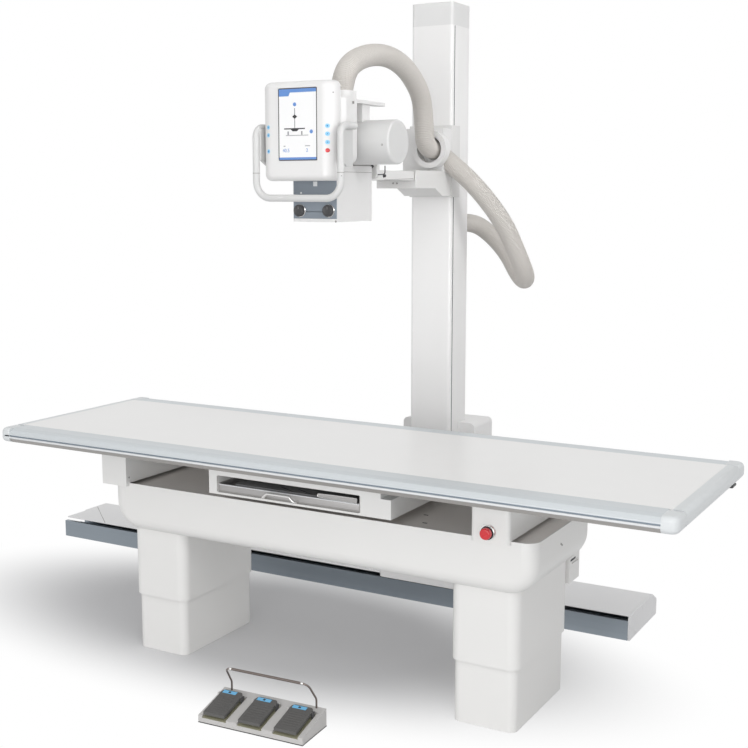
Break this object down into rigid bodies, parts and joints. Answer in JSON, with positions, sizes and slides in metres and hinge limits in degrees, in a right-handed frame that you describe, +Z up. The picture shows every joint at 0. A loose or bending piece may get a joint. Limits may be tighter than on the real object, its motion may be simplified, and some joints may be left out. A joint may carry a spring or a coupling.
{
  "type": "radiography table",
  "caption": "Elevating float-top X-ray table with bucky, floor-rail tube stand, tube head, console, collimator and foot switch.",
  "frame": {"origin": "floor midpoint between the two lifting legs, the centre of their outermost floor anchors", "axes": "+X along the table to the right, +Y to the tube stand at the back, +Z up"},
  "size_m": [3.184, 1.7969, 2.311],
  "materials": {
    "cover_paint": "light grey powder coat",
    "sleeve_paint": "light grey powder coat",
    "casing_paint": "light grey gloss paint",
    "deck_grey": "mid grey paint",
    "lift_steel": "machined steel",
    "edge_aluminium": "satin anodised extrusion",
    "tabletop_laminate": "white low-absorption laminate",
    "bucky_paint": "light grey paint",
    "tray_metal": "folded sheet",
    "detector_black": "black carbon face",
    "signal_red": "red moulded plastic",
    "bezel_silver": "bright ring and plate",
    "track_steel": "brushed steel",
    "column_paint": "light grey powder coat",
    "cap_plastic": "moulded cap",
    "weight_lead": "cast weight",
    "blue_grey": "blue-grey moulding",
    "head_paint": "light grey moulding",
    "glass_tube": "glass envelope",
    "screen_glass": "display glass",
    "key_blue": "membrane keys",
    "handle_paint": "light grey tube",
    "dark_plastic": "dark grey moulding",
    "hose_grey": "corrugated beige-grey hose",
    "pedal_grey": "ribbed dark pedal",
    "switch_shell": "light beige-grey moulded shell",
    "wire_steel": "dark wire"
  },
  "bodies": {
    "root": {"leg_covers": "cover_paint", "lift_bases": "lift_steel", "rail_track": "track_steel", "rail_cover": "cover_paint", "rail_end_caps": "cover_paint", "foot_switch_base": "switch_shell", "foot_switch_bail": "wire_steel"},
    "pedal_1": {"foot_pedal_1": "pedal_grey"},
    "pedal_2": {"foot_pedal_2": "pedal_grey"},
    "pedal_3": {"foot_pedal_3": "pedal_grey"},
    "lift_frame": {"leg_sleeves": "sleeve_paint", "lift_rams": "lift_steel", "table_casing": "casing_paint", "casing_deck": "deck_grey", "rear_control_box": "cover_paint", "support_blocks": "casing_paint", "guide_rails": "lift_steel", "stop_button_base": "bezel_silver"},
    "stop_button": {"stop_button": "signal_red"},
    "cross_carriage": {"cross_carriage": "tray_metal"},
    "tabletop": {"tabletop_panel": "tabletop_laminate", "edge_rails": "edge_aluminium", "table_end_bands": "cap_plastic", "table_runners": "lift_steel"},
    "bucky": {"bucky_housing": "bucky_paint"},
    "tray": {"cassette_tray": "tray_metal", "image_detector": "detector_black", "tray_handle": "bezel_silver"},
    "stand": {"stand_trolley": "lift_steel", "stand_base_cover": "cover_paint", "column_foot_cover": "cover_paint", "column": "column_paint", "column_cap": "cap_plastic", "hose_loop": "hose_grey"},
    "counterweight": {"counterweight": "weight_lead"},
    "suspension_pulley": {"suspension_pulley": "tray_metal"},
    "lift_carriage": {"lift_carriage": "head_paint", "carriage_head": "head_paint", "hose_collar": "blue_grey", "arm_outer": "column_paint", "hose_rear": "hose_grey"},
    "arm": {"arm_inner": "column_paint", "hose_front": "hose_grey"},
    "brake_lever": {"brake_lever": "dark_plastic"},
    "tube_head": {"tube_housing": "handle_paint", "tube_end_caps": "head_paint", "xray_tube_insert": "glass_tube", "trunnion_shaft": "tray_metal", "head_block": "head_paint", "console_housing": "head_paint", "console_screen": "screen_glass", "console_keys": "key_blue", "steering_handle": "handle_paint", "fin_handle": "handle_paint", "hose_bracket": "head_paint", "cable_plugs": "dark_plastic"},
    "collimator": {"collimator_housing": "head_paint", "collimator_panel": "blue_grey"},
    "knob_left": {"collimator_knob_left": "dark_plastic"},
    "knob_right": {"collimator_knob_right": "dark_plastic"}
  },
  "joints": [
    {"name": "table_lift", "type": "slide", "parent": "root", "child": "lift_frame", "axis": [0, 0, 1], "range_m": [-0.19, 0.11]},
    {"name": "stop_push", "type": "slide", "parent": "lift_frame", "child": "stop_button", "axis": [0, 1, 0], "range_m": [0, 0.004], "stiffness_N_per_m": 1500, "springref_m": -0.004},
    {"name": "table_cross", "type": "slide", "parent": "lift_frame", "child": "cross_carriage", "axis": [0, 1, 0], "range_m": [-0.12, 0.12]},
    {"name": "table_float", "type": "slide", "parent": "cross_carriage", "child": "tabletop", "axis": [1, 0, 0], "range_m": [-0.45, 0.32]},
    {"name": "bucky_travel", "type": "slide", "parent": "lift_frame", "child": "bucky", "axis": [1, 0, 0], "range_m": [-0.33, 0.26]},
    {"name": "tray_pull", "type": "slide", "parent": "bucky", "child": "tray", "axis": [0, -1, 0], "range_m": [0, 0.4]},
    {"name": "pedal_1_press", "type": "hinge", "parent": "root", "child": "pedal_1", "pos_m": [-0.10385, -0.49806, 0.055], "axis": [0.9983, 0.0576, 0], "range_deg": [0, 3], "stiffness_Nm_per_rad": 6, "springref_deg": -11.46},
    {"name": "pedal_2_press", "type": "hinge", "parent": "root", "child": "pedal_2", "pos_m": [0.02095, -0.49086, 0.055], "axis": [0.9983, 0.0576, 0], "range_deg": [0, 3], "stiffness_Nm_per_rad": 6, "springref_deg": -11.46},
    {"name": "pedal_3_press", "type": "hinge", "parent": "root", "child": "pedal_3", "pos_m": [0.14574, -0.48367, 0.055], "axis": [0.9983, 0.0576, 0], "range_deg": [0, 3], "stiffness_Nm_per_rad": 6, "springref_deg": -11.46},
    {"name": "stand_travel", "type": "slide", "parent": "root", "child": "stand", "axis": [1, 0, 0], "range_m": [-1.67, 0.67]},
    {"name": "tube_lift", "type": "slide", "parent": "stand", "child": "lift_carriage", "axis": [0, 0, 1], "range_m": [-0.65, 0.33], "deforming": ["hose_loop"]},
    {"name": "counterweight_travel", "type": "slide", "parent": "stand", "child": "counterweight", "axis": [0, 0, 1], "range_m": [-0.33, 0.65]},
    {"name": "pulley_turn", "type": "hinge", "parent": "stand", "child": "suspension_pulley", "pos_m": [-0.0755, 0.861, 2.268], "axis": [1, 0, 0], "range_deg": [-600, 1200]},
    {"name": "arm_slide", "type": "slide", "parent": "lift_carriage", "child": "arm", "axis": [0, -1, 0], "range_m": [-0.13, 0.05], "deforming": ["hose_rear"]},
    {"name": "brake_lever_turn", "type": "hinge", "parent": "arm", "child": "brake_lever", "pos_m": [0.02, 0.14, 1.676], "axis": [0, 1, 0], "range_deg": [-30, 30]},
    {"name": "tube_rotation", "type": "hinge", "parent": "arm", "child": "tube_head", "pos_m": [-0.025, 0, 1.7624], "axis": [0, 1, 0], "range_deg": [-120, 120], "deforming": ["hose_front"]},
    {"name": "collimator_rotation", "type": "hinge", "parent": "tube_head", "child": "collimator", "pos_m": [-0.025, 0, 1.6], "axis": [0, 0, 1], "range_deg": [-45, 45]},
    {"name": "knob_left_turn", "type": "hinge", "parent": "collimator", "child": "knob_left", "pos_m": [-0.079, -0.12, 1.5484], "axis": [0, -1, 0], "range_deg": [-150, 150]},
    {"name": "knob_right_turn", "type": "hinge", "parent": "collimator", "child": "knob_right", "pos_m": [0.029, -0.12, 1.5484], "axis": [0, -1, 0], "range_deg": [-150, 150]}
  ],
  "couplings": [
    {"joint": "counterweight_travel", "follows": "tube_lift", "ratio": -1},
    {"joint": "pulley_turn", "follows": "tube_lift", "rad_per_m": -31.25}
  ]
}
